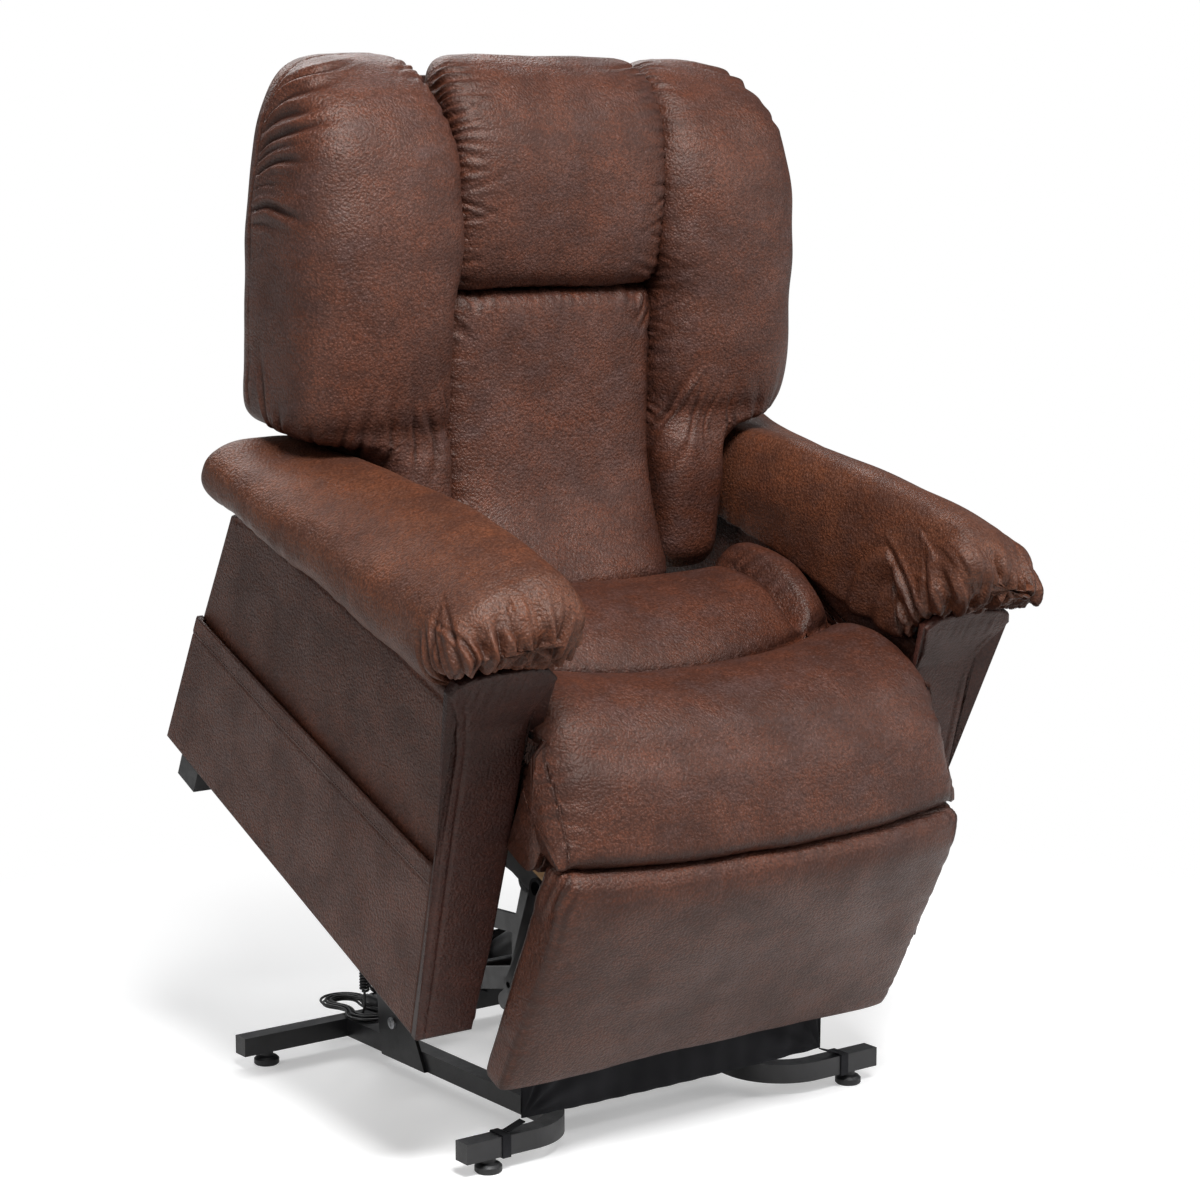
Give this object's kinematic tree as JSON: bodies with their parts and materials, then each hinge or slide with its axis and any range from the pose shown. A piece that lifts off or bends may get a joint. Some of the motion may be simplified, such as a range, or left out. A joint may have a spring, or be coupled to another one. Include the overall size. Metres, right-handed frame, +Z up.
{
  "type": "lift recliner chair",
  "caption": "Padded armchair on a steel base that raises and tips forward to help a person stand, with a swing-out footrest, a reclining back, a side pocket and a hand control.",
  "frame": {"origin": "centre of the footprint of the raised chair, on the floor", "axes": "+Z up; the seat faces -Y; +X is the sitter's left. Left and right in node names are as seen from the front, so left is -X"},
  "size_m": [0.894, 0.8319, 1.3345],
  "materials": {
    "brown_cover": "mottled brown imitation leather, soft sheen",
    "dark_cover": "dark brown imitation leather, soft sheen",
    "black_steel": "satin black paint",
    "grey_steel": "grey paint",
    "bright_zinc": "zinc plated",
    "spring_wire": "plain spring wire",
    "black_plastic": "moulded, fine grain",
    "cord_black": "cord sheath",
    "black_cloth": "thin woven cloth and elastic",
    "timber": "plain plywood",
    "button_grey": "moulded"
  },
  "bodies": {
    "base": {"base_rail_left": "black_steel", "base_rail_right": "black_steel", "rear_cross_tube": "black_steel", "front_cross_tube": "black_steel", "tube_end_caps": "black_plastic", "foot_glides": "black_plastic", "lift_brackets": "black_steel", "bracket_bolts": "bright_zinc", "motor_clevis": "black_steel", "base_shroud": "black_cloth", "shroud_straps": "black_cloth", "control_box": "black_plastic", "cord_hook": "black_steel", "cord_lead": "cord_black", "curly_cord": "cord_black", "cord_hank": "cord_black", "power_plug": "cord_black"},
    "lift_arm": {"lift_arms": "black_steel", "lift_torque_tube": "black_steel"},
    "upper_lift_link": {"upper_lift_links": "black_steel"},
    "lift_motor": {"lift_motor": "black_plastic", "lift_actuator_tube": "black_plastic"},
    "lift_rod": {"lift_rod": "bright_zinc"},
    "carriage": {"carriage_plates": "black_steel", "carriage_tubes": "black_steel", "carriage_pins": "bright_zinc", "seat_side_plates": "grey_steel", "seat_frame": "timber", "seat_springs": "spring_wire", "seat_cushion": "brown_cover", "arm_frames": "timber", "arm_brackets": "grey_steel", "side_panel_left": "brown_cover", "side_panel_right": "brown_cover", "inner_arm_panels": "dark_cover", "arm_fronts": "dark_cover", "arm_pad_left": "brown_cover", "arm_pad_right": "brown_cover", "side_pocket": "brown_cover", "control_pocket": "brown_cover", "rear_skirt": "dark_cover", "rear_foot_blocks": "black_plastic", "hand_control": "black_plastic"},
    "button_up": {"button_up": "button_grey"},
    "button_down": {"button_down": "button_grey"},
    "footrest_drive": {"footrest_drive": "black_steel"},
    "footrest_upper": {"footrest_upper_links": "black_steel"},
    "footrest_control": {"footrest_control_links": "black_steel"},
    "footrest": {"footrest_board": "timber", "footrest_pad": "brown_cover"},
    "recline_bar": {"recline_bars": "black_steel"},
    "recline_motor": {"recline_motor": "black_plastic"},
    "recline_rod": {"recline_rod": "bright_zinc"},
    "back": {"back_frame": "timber", "back_levers": "black_steel", "back_panel": "dark_cover", "wing_left": "brown_cover", "wing_right": "brown_cover", "head_pillow": "brown_cover", "lumbar_pillow": "brown_cover"}
  },
  "joints": [
    {"name": "lift", "type": "hinge", "parent": "base", "child": "lift_arm", "pos_m": [0, 0.218, 0.13], "axis": [1, 0, 0], "range_deg": [0, 26.04]},
    {"name": "carriage_turn", "type": "hinge", "parent": "lift_arm", "child": "carriage", "pos_m": [0, -0.11971, 0.20928], "axis": [1, 0, 0], "range_deg": [-50.3, 0]},
    {"name": "upper_lift_turn", "type": "hinge", "parent": "base", "child": "upper_lift_link", "pos_m": [0, 0.278, 0.25], "axis": [1, 0, 0], "range_deg": [0, 24.5]},
    {"name": "lift_motor_turn", "type": "hinge", "parent": "base", "child": "lift_motor", "pos_m": [0, 0.338, 0.08], "axis": [1, 0, 0], "range_deg": [0, 13.5]},
    {"name": "lift_rod_slide", "type": "slide", "parent": "lift_motor", "child": "lift_rod", "axis": [0, -0.8691, 0.4946], "range_m": [-0.1208, 0]},
    {"name": "button_up_press", "type": "slide", "parent": "carriage", "child": "button_up", "axis": [-1, 0, 0], "range_m": [0, 0.0015], "stiffness_N_per_m": 300, "springref_m": -0.0005},
    {"name": "button_down_press", "type": "slide", "parent": "carriage", "child": "button_down", "axis": [-1, 0, 0], "range_m": [0, 0.0015], "stiffness_N_per_m": 300, "springref_m": -0.0005},
    {"name": "footrest_swing", "type": "hinge", "parent": "carriage", "child": "footrest_drive", "pos_m": [0, -0.22862, 0.35442], "axis": [-1, 0, 0], "range_deg": [0, 92]},
    {"name": "footrest_upper_turn", "type": "hinge", "parent": "footrest_drive", "child": "footrest_upper", "pos_m": [0, -0.17089, 0.2052], "axis": [1, 0, 0], "range_deg": [0, 167.4]},
    {"name": "footrest_tilt", "type": "hinge", "parent": "footrest_upper", "child": "footrest", "pos_m": [0, -0.26875, 0.3254], "axis": [-1, 0, 0], "range_deg": [0, 165.4]},
    {"name": "footrest_control_turn", "type": "hinge", "parent": "carriage", "child": "footrest_control", "pos_m": [0, -0.27393, 0.3626], "axis": [-1, 0, 0], "range_deg": [0, 93.8]},
    {"name": "recline_bar_turn", "type": "hinge", "parent": "footrest_drive", "child": "recline_bar", "pos_m": [0, -0.16893, 0.3483], "axis": [1, 0, 0], "range_deg": [0, 94.8]},
    {"name": "recline_motor_turn", "type": "hinge", "parent": "carriage", "child": "recline_motor", "pos_m": [0, 0.12033, 0.45608], "axis": [1, 0, 0], "range_deg": [0, 4]},
    {"name": "recline_rod_slide", "type": "slide", "parent": "recline_motor", "child": "recline_rod", "axis": [0, -0.9371, -0.3491], "range_m": [0, 0.0836]},
    {"name": "back_recline", "type": "hinge", "parent": "carriage", "child": "back", "pos_m": [0, 0.22353, 0.56811], "axis": [-1, 0, 0], "range_deg": [0, 35.2]}
  ],
  "couplings": [
    {"joint": "carriage_turn", "follows": "lift", "ratio": -1.9276},
    {"joint": "upper_lift_turn", "follows": "lift", "ratio": 0.9362},
    {"joint": "lift_motor_turn", "follows": "lift", "ratio": 0.5134},
    {"joint": "lift_rod_slide", "follows": "lift", "m_per_rad": -0.2653},
    {"joint": "footrest_upper_turn", "follows": "footrest_swing", "ratio": 1.8152},
    {"joint": "footrest_tilt", "follows": "footrest_swing", "ratio": 1.7935},
    {"joint": "footrest_control_turn", "follows": "footrest_swing", "ratio": 1.0152},
    {"joint": "recline_bar_turn", "follows": "footrest_swing", "ratio": 1.0265},
    {"joint": "recline_motor_turn", "follows": "footrest_swing", "ratio": 0.04174},
    {"joint": "recline_rod_slide", "follows": "footrest_swing", "m_per_rad": 0.05181},
    {"joint": "back_recline", "follows": "footrest_swing", "ratio": 0.38043}
  ]
}
